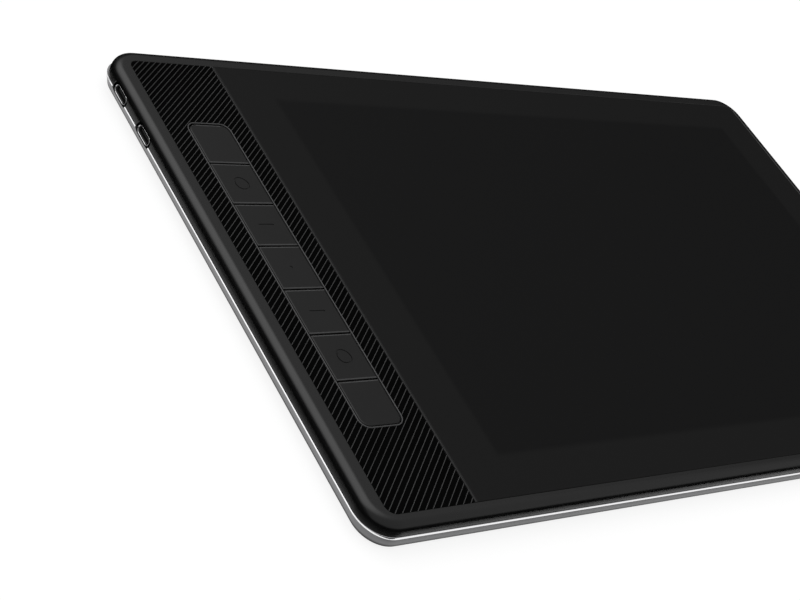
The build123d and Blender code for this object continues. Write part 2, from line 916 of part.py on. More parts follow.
def all_pieces():
    pieces = {
        "upper_casing": upper_casing(),
        "bottom_cover": bottom_cover(),
        "cover_glass": cover_glass(),
        "glass_tape": glass_tape(),
        "divider": divider(),
        "key_panel": key_panel(),
        "key_board": key_board(),
        "key_switches": key_switches(),
        "optical_bond": optical_bond(),
        "lcd_panel": lcd_panel(),
        "diffuser_films": diffuser_films(),
        "light_guide": light_guide(),
        "reflector_sheet": reflector_sheet(),
        "led_strip": led_strip(),
        "backlight_frame": backlight_frame(),
        "digitizer_board": sensor_sheet(sensor_z, tray_z),
        "digitizer_shield": sensor_sheet(shield_z, sensor_z),
        "foam_pads": foam_pads(),
        "main_board": main_board(),
        "display_driver_board": driver_board(),
        "power_board": power_board(),
        "scaler_chip": scaler_chip(),
        "memory_chip": memory_chip(),
        "shield_cans": shield_cans(),
        "power_coils": power_coils(),
        "capacitors": capacitors(),
        "board_sockets": board_sockets(),
        "display_flexes": display_flexes(),
        "display_cable": display_cable(),
        "digitizer_flex": digitizer_flex(),
        "key_flex": key_flex(),
        "power_flex": power_flex(),
        "power_button": power_button(),
        "power_switch": power_switch(),
        "case_screws": case_screws(),
        "board_screws": board_screws(),
        "key_board_screws": key_board_screws(),
    }
    for index in range(key_count):
        pieces[f"key_{index + 1}"] = press_key(key_count - 1 - index)
    for index, y in enumerate(port_places):
        pieces[f"usb_c_shell_{index + 1}"] = port_shell(y)
        pieces[f"usb_c_core_{index + 1}"] = port_core(y)
    for name, x in (("left", -leg_x), ("right", leg_x)):
        pieces[f"leg_{name}"] = leg_plate(x)
        pieces[f"leg_pad_{name}"] = leg_pad(x)
        pieces[f"hinge_pin_{name}"] = hinge_pin(x)
    for index, (x, y) in enumerate(foot_places):
        pieces[f"rubber_foot_{index + 1}"] = rubber_foot(x, y)
    return pieces


os.makedirs("parts", exist_ok=True)
for name, piece in all_pieces().items():
    export_step(piece, f"parts/{name}.step")
    print(name, round(piece.volume, 1))
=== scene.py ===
import json
import math
import bmesh
import bpy
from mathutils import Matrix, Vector


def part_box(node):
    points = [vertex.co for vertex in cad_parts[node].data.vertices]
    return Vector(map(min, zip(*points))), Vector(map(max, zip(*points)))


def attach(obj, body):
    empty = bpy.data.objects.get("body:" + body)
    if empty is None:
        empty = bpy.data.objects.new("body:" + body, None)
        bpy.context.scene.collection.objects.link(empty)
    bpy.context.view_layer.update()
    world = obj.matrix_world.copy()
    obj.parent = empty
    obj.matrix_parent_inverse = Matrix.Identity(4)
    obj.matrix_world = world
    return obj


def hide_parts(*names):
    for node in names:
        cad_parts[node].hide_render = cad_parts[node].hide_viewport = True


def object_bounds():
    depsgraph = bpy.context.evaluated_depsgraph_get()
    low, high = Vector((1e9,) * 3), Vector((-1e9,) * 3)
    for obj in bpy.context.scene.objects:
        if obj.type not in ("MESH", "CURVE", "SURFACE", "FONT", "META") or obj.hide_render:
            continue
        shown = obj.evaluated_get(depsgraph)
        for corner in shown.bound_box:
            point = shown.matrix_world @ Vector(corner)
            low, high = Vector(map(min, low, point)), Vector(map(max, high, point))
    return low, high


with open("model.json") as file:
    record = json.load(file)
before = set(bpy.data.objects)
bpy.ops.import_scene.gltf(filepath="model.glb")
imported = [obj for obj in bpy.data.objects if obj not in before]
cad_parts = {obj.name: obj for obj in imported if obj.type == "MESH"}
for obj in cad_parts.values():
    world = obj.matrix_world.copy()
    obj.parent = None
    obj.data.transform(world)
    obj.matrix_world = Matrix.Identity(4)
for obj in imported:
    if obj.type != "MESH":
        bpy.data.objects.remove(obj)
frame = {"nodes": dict(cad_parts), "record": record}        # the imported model, which stays where it is
cadLow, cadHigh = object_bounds()
mm = 0.001
fit = 0.05 * mm          # the clearance between pieces that lie against each other
overrun = 1 * mm         # how far a cutter reaches past the face that it cuts
weld = 0.001 * mm        # vertices closer than this become one
plainSharp = 35          # degrees above which an edge is hard, unless a piece has its own angle


def say(stage):
    print("pen display:", stage)


# Mesh tools. A ring is a list of points, and a shape is its vertices, its faces and their finish numbers.

def outline(left, right, near, far, corners, steps=16):
    # anticlockwise, with one radius each for the near right, far right, far left and near left corner
    places = [(right, near, -1, 1), (right, far, -1, -1), (left, far, 1, -1), (left, near, 1, 1)]
    points = []
    for index, ((x, y, sideX, sideY), radius) in enumerate(zip(places, corners)):
        for step in range(steps + 1):
            angle = math.radians(90 * (index - 1 + step / steps))
            points.append((x + radius * (sideX + math.cos(angle)), y + radius * (sideY + math.sin(angle))))
    return points


def pill(width, height, grow=0.0, steps=10):
    half = height / 2 + grow
    return outline(-width / 2 - grow, width / 2 + grow, -half, half, [half] * 4, steps)


def circle(radius, sides):
    turns = [2 * math.pi * index / sides for index in range(sides)]
    return [(radius * math.cos(turn), radius * math.sin(turn)) for turn in turns]


def flat(points, z, x=0.0, y=0.0):
    return [(x + u, y + v, z) for u, v in points]


def facingX(points, x, y, z):
    return [(x, y + u, z + v) for u, v in points]


def facingY(points, x, y, z):
    return [(x + u, y, z + v) for u, v in points]


def quarter(rounds):
    # along a quarter round, the shares gone inward and still below its top
    turns = [math.pi / 2 * step / rounds for step in range(rounds + 1)]
    return [(1 - math.cos(turn), 1 - math.sin(turn)) for turn in turns]


def loft(rings, closed=False, finish=0, finishes=None):
    # quads from ring to ring, capped at both ends unless the last ring meets the first
    count = len(rings[0])
    points = [point for ring in rings for point in ring]
    faces = []
    numbers = []
    for index in range(len(rings) if closed else len(rings) - 1):
        here = index * count
        there = (index + 1) % len(rings) * count
        for step in range(count):
            ahead = (step + 1) % count
            faces.append((here + step, here + ahead, there + ahead, there + step))
            numbers.append(finishes[index] if finishes else finish)
    if not closed:
        faces.append(tuple(range(count)))
        faces.append(tuple(range(len(points) - count, len(points))))
        numbers += [finish, finish]
    return points, faces, numbers


def meshOf(name, shapes, sharp):
    mesh = bpy.data.meshes.new(name)
    points = []
    faces = []
    numbers = []
    for shapePoints, shapeFaces, shapeNumbers in shapes:
        start = len(points)
        points += shapePoints
        faces += [tuple(start + corner for corner in face) for face in shapeFaces]
        numbers += shapeNumbers
    mesh.from_pydata(points, [], faces)
    mesh.polygons.foreach_set("material_index", numbers)
    build = bmesh.new()
    build.from_mesh(mesh)
    bmesh.ops.remove_doubles(build, verts=build.verts, dist=weld)
    bmesh.ops.recalc_face_normals(build, faces=build.faces)
    build.to_mesh(mesh)
    build.free()
    smooth(mesh, sharp)
    return mesh


def smooth(mesh, sharp):
    mesh.shade_smooth()
    mesh.set_sharp_from_angle(angle=math.radians(sharp))


def solid(name, shapes, sharp=plainSharp):
    made = bpy.data.objects.new(name, meshOf(name, shapes, sharp))
    bpy.context.scene.collection.objects.link(made)
    return made


def settle(made, sharp):
    # turns the piece's modifiers into its mesh
    ready = made.evaluated_get(bpy.context.evaluated_depsgraph_get())
    mesh = bpy.data.meshes.new_from_object(ready)
    made.modifiers.clear()
    made.data = mesh
    smooth(mesh, sharp)


def carve(made, shapes, operation="DIFFERENCE", sharp=plainSharp):
    cutter = solid("cutter", shapes)
    step = made.modifiers.new("carve", "BOOLEAN")
    step.object = cutter
    step.operation = operation
    step.solver = "EXACT"
    settle(made, sharp)
    bpy.data.objects.remove(cutter)


def soften(made, width, rounds, sharp):
    step = made.modifiers.new("soften", "BEVEL")
    step.width = width
    step.segments = rounds
    step.limit_method = "ANGLE"
    step.angle_limit = math.radians(sharp)
    settle(made, sharp)


def dress(made, body, slotName, finishes, *nodes):
    for finish in finishes:
        made.data.materials.append(finish.material)
    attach(made, body)
    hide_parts(*nodes)


def middle(node):
    low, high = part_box(node)
    return (low + high) / 2


def spotOf(low, high):
    # the middle of a box on the floor plan
    return (low.x + high.x) / 2, (low.y + high.y) / 2


def islands(node):
    # the box of each separate solid of a CAD node
    build = bmesh.new()
    build.from_mesh(frame["nodes"][node].data)
    bmesh.ops.remove_doubles(build, verts=build.verts, dist=5 * weld)
    left = set(build.verts)
    boxes = []
    while left:
        reached = [left.pop()]
        corners = []
        while reached:
            vertex = reached.pop()
            corners.append(vertex.co.copy())
            for edge in vertex.link_edges:
                other = edge.other_vert(vertex)
                if other in left:
                    left.remove(other)
                    reached.append(other)
        boxes.append((Vector(map(min, *corners)), Vector(map(max, *corners))))
    build.free()
    # a set has no order, so they are put in one
    return sorted(boxes, key=lambda box: tuple(box[0]))


# Shader tools

class Signal:
    # a shader socket that goes into sums like a number
    def __init__(self, nodes, socket):
        self.nodes = nodes
        self.socket = socket

    def join(self, operation, first, second):
        return self.nodes.node("ShaderNodeMath", {"operation": operation}, {0: first, 1: second})

    def __add__(self, other):
        return self.join("ADD", self, other)

    __radd__ = __add__

    def __sub__(self, other):
        return self.join("SUBTRACT", self, other)

    def __rsub__(self, other):
        return self.join("SUBTRACT", other, self)

    def __mul__(self, other):
        return self.join("MULTIPLY", self, other)

    __rmul__ = __mul__

    def least(self, other):
        return self.join("MINIMUM", self, other)

    def most(self, other):
        return self.join("MAXIMUM", self, other)


class Nodes:
    def __init__(self, tree):
        self.tree = tree

    def node(self, kind, settings=None, sockets=None, out=0):
        made = self.tree.nodes.new(kind)
        for label, value in (settings or {}).items():
            setattr(made, label, value)
        for label, value in (sockets or {}).items():
            self.plug(made.inputs[label], value)
        return Signal(self, made.outputs[out])

    def plug(self, socket, value):
        if isinstance(value, Signal):
            self.tree.links.new(value.socket, socket)
        else:
            socket.default_value = value

    def ramp(self, value, low, high, start=0.0, end=1.0):
        # eases from start to end as the value goes from low to high
        return self.node("ShaderNodeMapRange", {"interpolation_type": "SMOOTHSTEP"},
                         {"Value": value, "From Min": low, "From Max": high, "To Min": start, "To Max": end})

    def blend(self, factor, first, second):
        # sockets 6 and 7 and output 2 are the node's colours
        return self.node("ShaderNodeMix", {"data_type": "RGBA"}, {0: factor, 6: first, 7: second}, 2)


class Finish(Nodes):
    def __init__(self, name, sockets):
        self.material = bpy.data.materials.new(name)
        self.material.use_nodes = True
        Nodes.__init__(self, self.material.node_tree)
        self.shader = self.tree.nodes["Principled BSDF"]
        self.place = self.node("ShaderNodeTexCoord", out="Object")
        for label, value in sockets.items():
            self.set(label, value)

    def set(self, label, value):
        self.plug(self.shader.inputs[label], value)

    def axis(self, letter):
        return self.node("ShaderNodeSeparateXYZ", sockets={0: self.place}, out=letter)

    def noise(self, size, detail=2.0, stretch=(1, 1, 1)):
        # cloudy values from 0 to 1, with blots about as large as size
        vector = self.node("ShaderNodeVectorMath", {"operation": "MULTIPLY"}, {0: self.place, 1: stretch})
        return self.node("ShaderNodeTexNoise", sockets={
            "Vector": vector, "Scale": 1 / size, "Detail": detail})

    def bump(self, height, distance, strength=1.0):
        self.set("Normal", self.node("ShaderNodeBump", sockets={
            "Height": height, "Distance": distance, "Strength": strength}))


def grey(value, blue=0.0):
    return (value, value, value * (1 + blue), 1)


# Finishes. The swing of a pattern is how far it moves the roughness, and a tint is a share of blue.

swing = {"clouds": 0.06, "grain": 0.05, "crest": 0.14, "ridge": 0.06, "etch": 0.04, "screen": 0.03,
         "metal": 0.08, "dimples": 0.05, "rubber": 0.12, "inner": 0.1}
tint = {"plastic": 0.02, "glass": 0.03, "cover": 0.02, "bright": 0.01}


def mouldedBlack(name, look):
    # satin plastic with a fine spark-eroded grain and a faint cloudiness
    finish = Finish(name, {"Specular IOR Level": look["gloss"]})
    clouds = finish.noise(look["clouds"])
    grain = finish.noise(look["grain"])
    finish.set("Base Color", finish.blend(clouds, grey(look["dark"]), grey(look["light"], tint["plastic"])))
    cloudy = look["roughness"] + swing["clouds"] * (clouds - 0.5)
    finish.set("Roughness", cloudy + swing["grain"] * (grain - 0.5))
    finish.bump(grain, look["depth"])
    return finish


def ridgedBlack(look):
    # painted highlight and painted shade: the crests are painted lighter than the floor of the grooves, which
    # is painted near black
    finish = Finish("ridged_black", {"Specular IOR Level": look["gloss"]})
    # painted shade and highlight: the colour darkens toward the groove floor and lightens toward the crest
    height = finish.ramp(finish.axis("Z"), look["floor"], look["crest"])
    grain = finish.noise(look["grain"])
    crest = finish.blend(grain, grey(look["litCrestDark"]), grey(look["litCrestLight"]))
    finish.set("Base Color", finish.blend(height, grey(look["groove"]), crest))
    finish.set("Roughness", look["roughness"] - swing["crest"] * height + swing["ridge"] * (grain - 0.5))
    finish.bump(grain, look["depth"])
    return finish


def etchedGlass(look):
    # black glass, with the screen area a shade darker than its border and a soft edge between
    finish = Finish("etched_glass", {"Specular IOR Level": look["gloss"]})
    x = finish.axis("X")
    y = finish.axis("Y")
    inX = (x - look["left"]).least(look["right"] - x)
    inY = (y - look["near"]).least(look["far"] - y)
    screen = finish.ramp(inX.least(inY), -look["soft"], look["soft"])
    etch = finish.noise(look["grain"])
    clouds = finish.noise(look["clouds"])
    border = finish.blend(clouds, grey(look["border"]), grey(look["border"] * look["borderCloud"]))
    inside = finish.blend(clouds, grey(look["screen"], tint["glass"]),
                          grey(look["screen"] * look["screenCloud"], tint["glass"]))
    finish.set("Base Color", finish.blend(screen, border, inside))
    finish.set("Roughness", look["roughness"] + swing["etch"] * (etch - 0.5) + swing["screen"] * screen)
    finish.bump(etch, look["depth"])
    return finish


def blastedMetal(name, look):
    # bead-blasted and anodised: fine round dimples and a little mottling
    finish = Finish(name, {"Metallic": 1.0})
    dimples = finish.node("ShaderNodeTexVoronoi", {"feature": "F1"}, {
        "Vector": finish.place, "Scale": 1 / look["grain"]}, "Distance")
    clouds = finish.noise(look["clouds"], detail=3.0)
    colour = finish.blend(clouds, grey(look["dark"], tint["cover"]), grey(look["light"], tint["cover"]))
    if "edge" in look:
        # painted shade: darker round the foot of the sides, where the contact shadow falls
        base, low, high = look["edge"]
        height = finish.axis("Z")
        shadeBand = finish.ramp(height, base, low) * finish.ramp(height, low, high, 1, 0)
        colour = finish.blend(shadeBand, colour, grey(look["dark"] * look["edgeShare"]))
    finish.set("Base Color", colour)
    cloudy = look["roughness"] + swing["metal"] * (clouds - 0.5)
    finish.set("Roughness", cloudy + swing["dimples"] * (dimples - 0.5))
    finish.bump(dimples, look["depth"])
    return finish


def polishedMetal(name, look):
    # bright metal with fine drawn lines along it
    finish = Finish(name, {"Metallic": 1.0})
    lines = finish.noise(look["grain"], stretch=look["stretch"])
    finish.set("Base Color", finish.blend(lines, grey(look["dark"], tint["bright"]),
                                          grey(look["light"], tint["bright"])))
    finish.set("Roughness", look["roughness"] + swing["metal"] * (lines - 0.5))
    finish.bump(lines, look["depth"])
    return finish


def rubber(look):
    # dust lies on it in blots
    finish = Finish(look["name"], {"Specular IOR Level": look["gloss"]})
    grain = finish.noise(look["grain"], detail=4.0)
    dust = finish.ramp(finish.noise(look["clouds"], detail=3.0), look["dustLow"], look["dustHigh"])
    finish.set("Base Color", finish.blend(dust, grey(look["dark"]), grey(look["light"])))
    finish.set("Roughness", look["roughness"] + swing["rubber"] * (grain - 0.5))
    finish.bump(grain, look["depth"])
    return finish


speckled = {"gloss": 0.4, "low": 0.35, "high": 0.65, "dark": 0.8, "depth": 0.01 * mm}


def inner(name, look):
    # pieces inside the casing: a speckled colour and a light texture
    finish = Finish(name, {"Metallic": look.get("metal", 0.0), "Specular IOR Level": speckled["gloss"]})
    speckle = finish.noise(look["grain"], detail=3.0)
    shade = finish.ramp(speckle, speckled["low"], speckled["high"])
    dark = [share * speckled["dark"] for share in look["colour"]]
    finish.set("Base Color", finish.blend(shade, (*dark, 1), (*look["colour"], 1)))
    finish.set("Roughness", look["roughness"] + swing["inner"] * (speckle - 0.5))
    finish.bump(speckle, look.get("depth", speckled["depth"]))
    return finish


# Where the main pieces lie, from the frame

caseLow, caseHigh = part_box("upper_casing")
coverLow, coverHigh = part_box("bottom_cover")
glassLow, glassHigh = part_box("cover_glass")
panelLow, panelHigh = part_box("key_panel")
lcdLow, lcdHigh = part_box("lcd_panel")
top = caseHigh.z
seam = coverHigh.z
recess = {"left": panelLow.x - fit, "right": glassHigh.x + fit,
          "near": glassLow.y - fit, "far": glassHigh.y + fit}
sockets = ["usb_c_shell_1", "usb_c_shell_2"]

say("finishes")

caseBlack = mouldedBlack("case_black", {
    "dark": 0.0045, "light": 0.0055, "gloss": 0.5, "roughness": 0.26, "clouds": 18 * mm, "grain": 0.35 * mm,
    "depth": 0.002 * mm})
keyBlack = mouldedBlack("key_black", {
    "dark": 0.0030, "light": 0.0042, "gloss": 0.36, "roughness": 0.34, "clouds": 12 * mm, "grain": 0.3 * mm,
    "depth": 0.004 * mm})
# a lighter grey: the lip round the keys, and a painted highlight on the key edges along the splits
lipGreyAndEdgeHighlight = mouldedBlack("lip_grey_and_edge_highlight", {
    "dark": 0.055, "light": 0.065, "gloss": 0.5, "roughness": 0.34, "clouds": 5 * mm, "grain": 0.3 * mm,
    "depth": 0.003 * mm})
# the groove colour is painted shade and the crest colours are a painted highlight
ridgeBlack = ridgedBlack({
    "floor": panelHigh.z - 0.14 * mm, "crest": panelHigh.z - 0.02 * mm, "groove": 0.002, "litCrestDark": 0.04,
    "litCrestLight": 0.055, "gloss": 0.4, "roughness": 0.62, "grain": 0.3 * mm, "depth": 0.004 * mm})
# painted shade: the floor between the ridges is near black and without gloss, standing in for the shade there
grooveShadeBlack = mouldedBlack("groove_shade_black", {
    "dark": 0.002, "light": 0.0035, "gloss": 0.0, "roughness": 0.6, "clouds": 8 * mm, "grain": 0.3 * mm,
    "depth": 0.004 * mm})
dividerBlack = mouldedBlack("divider_black", {
    "dark": 0.012, "light": 0.016, "gloss": 0.4, "roughness": 0.4, "clouds": 8 * mm, "grain": 0.3 * mm,
    "depth": 0.002 * mm})
panelFrame = {"side": 4 * mm, "near": 7 * mm, "far": 3.5 * mm}    # the lcd panel's own edge, which stays dark
screenGlass = etchedGlass({
    "left": lcdLow.x + panelFrame["side"], "right": lcdHigh.x - panelFrame["side"],
    "near": lcdLow.y + panelFrame["near"], "far": lcdHigh.y - panelFrame["far"], "soft": 1.6 * mm,
    "border": 0.0084, "borderCloud": 1.06, "screen": 0.0048, "screenCloud": 1.05, "gloss": 0.1,
    "roughness": 0.32, "grain": 0.25 * mm, "clouds": 60 * mm, "depth": 0.001 * mm})
# the edge band is a painted contact shadow near the foot of the sides
coverMetal = blastedMetal("cover_metal", {
    "dark": 0.18, "light": 0.22, "roughness": 0.42, "grain": 0.22 * mm, "clouds": 9 * mm, "depth": 0.006 * mm,
    "edge": (coverLow.z + 0.02 * mm, coverLow.z + 0.2 * mm, coverLow.z + 1.8 * mm), "edgeShare": 0.15})
lipMetal = polishedMetal("lip_metal", {
    "dark": 0.88, "light": 0.96, "roughness": 0.08, "grain": 0.3 * mm, "stretch": (0.05, 0.05, 1),
    "depth": 0.001 * mm})
portSteel = polishedMetal("port_steel", {
    "dark": 0.62, "light": 0.74, "roughness": 0.22, "grain": 0.3 * mm, "stretch": (0.1, 1, 1),
    "depth": 0.001 * mm})
screwSteel = polishedMetal("screw_steel", {
    "dark": 0.2, "light": 0.3, "roughness": 0.3, "grain": 0.2 * mm, "stretch": (1, 1, 0.2),
    "depth": 0.002 * mm})
legMetal = blastedMetal("leg_metal", {
    "dark": 0.26, "light": 0.32, "roughness": 0.48, "grain": 0.2 * mm, "clouds": 8 * mm, "depth": 0.006 * mm})
footRubber = rubber({
    "name": "foot_rubber", "dark": 0.022, "light": 0.034, "dustLow": 0.52, "dustHigh": 0.8, "gloss": 0.3,
    "roughness": 0.78, "grain": 0.25 * mm, "clouds": 4 * mm, "depth": 0.012 * mm})

say("casing")

casing = {
    "wall": 1.6 * mm, "corner": 12.8 * mm, "rounding": 3.4 * mm, "rounds": 16, "recessCorner": 4 * mm,
    "tightCorner": 0.3 * mm, "edge": 0.15 * mm, "margin": 0.3 * mm, "shelfDrop": 1.2 * mm,
    "shelfDepth": 1.2 * mm, "shelfReach": 9 * mm}


def caseRing(inset, z):
    corners = [casing["corner"] - inset] * 4
    return flat(outline(caseLow.x + inset, caseHigh.x - inset, caseLow.y + inset, caseHigh.y - inset,
                        corners), z)


def recessRing(inset, z):
    corner = max(casing["recessCorner"] - inset, casing["tightCorner"])
    return flat(outline(recess["left"] + inset, recess["right"] - inset, recess["near"] + inset,
                        recess["far"] - inset, [corner] * 4), z)


def casingRings():
    rings = [caseRing(casing["edge"], seam), caseRing(0, seam + casing["edge"])]
    for inward, below in quarter(casing["rounds"]):
        rings.append(caseRing(casing["rounding"] * inward, top - casing["rounding"] * below))
    rings.append(caseRing(casing["rounding"] + casing["margin"], top))    # keeps the rim's shading flat
    shelf = top - casing["shelfDrop"]
    under = shelf - casing["shelfDepth"]
    rings += [recessRing(-casing["edge"], top), recessRing(0, top - casing["edge"]), recessRing(0, shelf),
              recessRing(casing["shelfReach"], shelf), recessRing(casing["shelfReach"], under),
              caseRing(casing["wall"], under), caseRing(casing["wall"], seam)]
    return rings


port = {"width": 11.8 * mm, "height": 5.4 * mm, "flare": 0.12 * mm, "throat": 0.15 * mm, "depth": 2.7 * mm}


def portCutters():
    # each opening is flared where it meets the outside of the wall
    stages = [(-overrun, port["flare"]), (0, port["flare"]), (port["throat"], 0), (port["depth"], 0)]
    shapes = []
    for name in sockets:
        centre = middle(name)
        shapes.append(loft([facingX(pill(port["width"], port["height"], grow), caseLow.x + x, centre.y,
                                    centre.z) for x, grow in stages]))
    return shapes


button = {"width": 10 * mm, "height": 1.8 * mm, "gap": 0.1 * mm, "flare": 0.3 * mm, "mouth": 0.1 * mm,
          "throat": 0.4 * mm, "edge": 0.25 * mm, "rounds": 4, "flange": 0.6 * mm, "square": 0.05 * mm}


def buttonCutter():
    centre = middle("power_button")
    stages = [(-overrun, button["flare"]), (button["mouth"], button["flare"]), (button["throat"], 0),
              (2 * casing["wall"], 0)]
    return loft([facingY(pill(button["width"], button["height"], button["gap"] + grow), centre.x,
                         caseHigh.y - y, centre.z) for y, grow in stages])


casingPiece = solid("casing", [loft(casingRings(), closed=True)])
carve(casingPiece, portCutters() + [buttonCutter()])
dress(casingPiece, "tablet", "casing_black", [caseBlack], "upper_casing")

say("metal cover")

cover = {
    "lip": 0.2 * mm, "lipHeight": 1.15 * mm, "endLipHeight": 0.45 * mm, "lipEdge": 0.1 * mm,
    "endTaper": 2.05 * mm, "farDraw": 0.55 * mm, "sideTaper": 0.05 * mm, "knee": 0.35 * mm, "kneeRounds": 6,
    "wall": 2.2 * mm, "floor": 1 * mm, "corner": 13.0 * mm, "farCorner": 12.2 * mm, "nearGrow": 0.7 * mm,
    "farGrow": 1 * mm, "sharp": 18}


def coverRing(share, inset, z):
    # share goes from 0 at the lip to 1 where the sides have drawn right in
    end = cover["endTaper"] * share + inset
    side = cover["sideTaper"] * share + inset
    near = cover["corner"] - end + cover["nearGrow"] * share
    far = cover["farCorner"] - end + cover["farGrow"] * share
    ring = []
    for x, y in outline(coverLow.x + end, coverHigh.x - end, coverLow.y + side, coverHigh.y - side,
                        [near, far, far, near]):
        # the ends draw in further toward the far side
        draw = cover["farDraw"] * share * (y - coverLow.y) / (coverHigh.y - coverLow.y)
        ring.append((x + draw if x < (coverLow.x + coverHigh.x) / 2 else x - draw, y, z))
    return ring


def lipRing():
    # the polished lip is taller along the near and far sides than at the ends
    left, right = coverLow.x + cover["corner"], coverHigh.x - cover["corner"]
    ring = []
    for x, y, z in coverRing(0, 0, seam):
        turn = min(max(left - x, x - right, 0) / cover["corner"], 1)
        height = cover["lipHeight"] + (cover["endLipHeight"] - cover["lipHeight"]) * turn * turn
        ring.append((x, y, z - height))
    return ring


def coverShape():
    knee = cover["knee"]
    base = coverLow.z
    rings = [coverRing(1, knee + casing["margin"], base)]
    for inward, below in quarter(cover["kneeRounds"]):
        rings.append(coverRing(1, knee * below, base + knee * inward))
    edge = cover["lipEdge"]
    inside = cover["lip"] + cover["wall"]
    polished = len(rings)
    rings += [lipRing(), coverRing(0, 0, seam - edge), coverRing(0, edge, seam),
              coverRing(0, inside, seam), coverRing(0, inside, base + cover["floor"])]
    # the lip, its edge and the rim under the casing are polished
    finishes = [1 if polished <= index < polished + 3 else 0 for index in range(len(rings))]
    return loft(rings, finishes=finishes)


leg = {
    "gap": 0.3 * mm, "notch": 10 * mm, "swing": 2.2 * mm, "roof": 0.5 * mm, "wall": 1 * mm,
    "bossReach": 3.8 * mm, "bossHalf": 2.2 * mm, "sink": 0.15 * mm, "pinRadius": 0.6 * mm, "boreSides": 20,
    "mouthEdge": 0.3 * mm, "mouthCorner": 0.4 * mm}


def blockShape(left, right, near, far, low, high, corner=0.02 * mm, steps=1):
    points = outline(left, right, near, far, [corner] * 4, steps)
    return loft([flat(points, low), flat(points, high)])


def legPocket(side):
    low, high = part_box(f"leg_{side}")
    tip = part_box(f"leg_pad_{side}")[0].y
    hinge = middle(f"hinge_pin_{side}").y
    left, right = low.x - leg["gap"], high.x + leg["gap"]
    near, far = tip - leg["notch"], hinge + leg["swing"]
    roof = high.z + leg["sink"]
    floor = coverLow.z + cover["floor"] - fit
    walls = blockShape(left - leg["wall"], right + leg["wall"], near - leg["wall"], far + leg["wall"], floor,
                       roof + leg["roof"])
    bosses = blockShape(left - leg["bossReach"], right + leg["bossReach"], hinge - leg["bossHalf"],
                        hinge + leg["bossHalf"], floor, roof + leg["roof"])
    edge = leg["mouthEdge"]
    stages = [(edge, -overrun), (edge, 0), (0, edge), (0, roof - coverLow.z)]
    space = loft([flat(outline(left - grow, right + grow, near - grow, far + grow,
                               [leg["mouthCorner"] + grow] * 4, steps=4), coverLow.z + z)
                  for grow, z in stages])
    return walls, bosses, space


screw = {
    "seat": 1.75 * mm, "mouth": 0.15 * mm, "mouthDepth": 0.12 * mm, "slack": 1 * mm, "depth": 0.85 * mm,
    "bore": 2 * mm, "sides": 24, "head": 1.68 * mm, "headEdge": 0.12 * mm, "headRise": 0.08 * mm,
    "shank": 0.75 * mm, "star": 0.5 * mm, "lobe": 0.1 * mm, "lobes": 6, "starDepth": 0.45 * mm}


def screwSeat(low, high):
    x, y = spotOf(low, high)
    base = coverLow.z
    wide = screw["seat"] + screw["mouth"]
    stages = [(wide, -overrun), (wide, 0), (screw["seat"], screw["mouthDepth"]),
              (screw["slack"], screw["depth"]), (screw["slack"], screw["bore"])]
    return loft([flat(circle(radius, screw["sides"]), base + z, x, y) for radius, z in stages])


coverPiece = solid("cover", [coverShape()], cover["sharp"])
dress(coverPiece, "tablet", "cover_aluminium", [coverMetal, lipMetal], "bottom_cover")
for side in ("left", "right"):
    walls, bosses, space = legPocket(side)
    carve(coverPiece, [walls], "UNION", cover["sharp"])
    carve(coverPiece, [bosses], "UNION", cover["sharp"])
    carve(coverPiece, [space], sharp=cover["sharp"])
carve(coverPiece, [screwSeat(low, high) for low, high in islands("case_screws")], sharp=cover["sharp"])
carve(coverPiece, portCutters(), sharp=cover["sharp"])

say("glass and divider")

glass = {"edge": 0.3 * mm, "underEdge": 0.1 * mm, "rounds": 5, "corner": 3.95 * mm, "square": 0.05 * mm,
         "margin": 0.4 * mm}


def glassRing(inset, z):
    wide = glass["corner"] - inset
    square = glass["square"]
    return flat(outline(glassLow.x + inset, glassHigh.x - inset, glassLow.y + inset, glassHigh.y - inset,
                        [wide, wide, square, square], steps=12), z)


def glassShape():
    rings = [glassRing(glass["underEdge"], glassLow.z), glassRing(0, glassLow.z + glass["underEdge"])]
    for inward, below in quarter(glass["rounds"]):
        rings.append(glassRing(glass["edge"] * inward, glassHigh.z - glass["edge"] * below))
    rings.append(glassRing(glass["edge"] + glass["margin"], glassHigh.z))
    return loft(rings)


dress(solid("screen", [glassShape()]), "tablet", "screen_glass", [screenGlass], "cover_glass")

divider = {"drop": 0.12 * mm, "midInset": 0.05 * mm, "midDrop": 0.03 * mm, "inset": 0.14 * mm,
           "corner": 0.04 * mm}


def dividerShape():
    low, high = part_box("divider")
    stages = [(0, low.z), (0, high.z - divider["drop"]), (divider["midInset"], high.z - divider["midDrop"]),
              (divider["inset"], high.z)]
    return loft([flat(outline(low.x + inset, high.x - inset, low.y + inset, high.y - inset,
                              [divider["corner"]] * 4, steps=2), z) for inset, z in stages])


dress(solid("divider_trim", [dividerShape()]), "tablet", "divider_black", [dividerBlack], "divider")

say("ribbed panel")

panel = {
    "corner": 3.95 * mm, "square": 0.05 * mm, "base": 0.8 * mm, "pitch": 1.984 * mm, "ridge": 0.39 * mm,
    "angle": 41.4, "spreadShare": 0.104, "shift": 2.15 * mm, "lip": 0.5 * mm, "lipEdge": 0.14 * mm,
    "slack": 0.3 * mm, "stripCorner": 3.5 * mm, "flange": 0.8 * mm, "nearTrim": 1.1 * mm,
    "farGrow": 0.15 * mm, "sample": 0.2 * mm, "halvings": 18, "sharp": 50}
# across and up, as shares of the ridge's half width and of its height
ridgeProfile = [(-1, -0.05), (-0.92, 0.55), (-0.62, 0.88), (0, 1), (0.62, 0.88), (0.92, 0.55), (1, -0.05)]
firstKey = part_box("key_7")
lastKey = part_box("key_1")
strip = {"left": firstKey[0].x + panel["flange"], "right": firstKey[1].x - panel["flange"],
         "near": firstKey[0].y + panel["nearTrim"], "far": lastKey[1].y + panel["farGrow"]}
panelBase = panelLow.z + panel["base"]


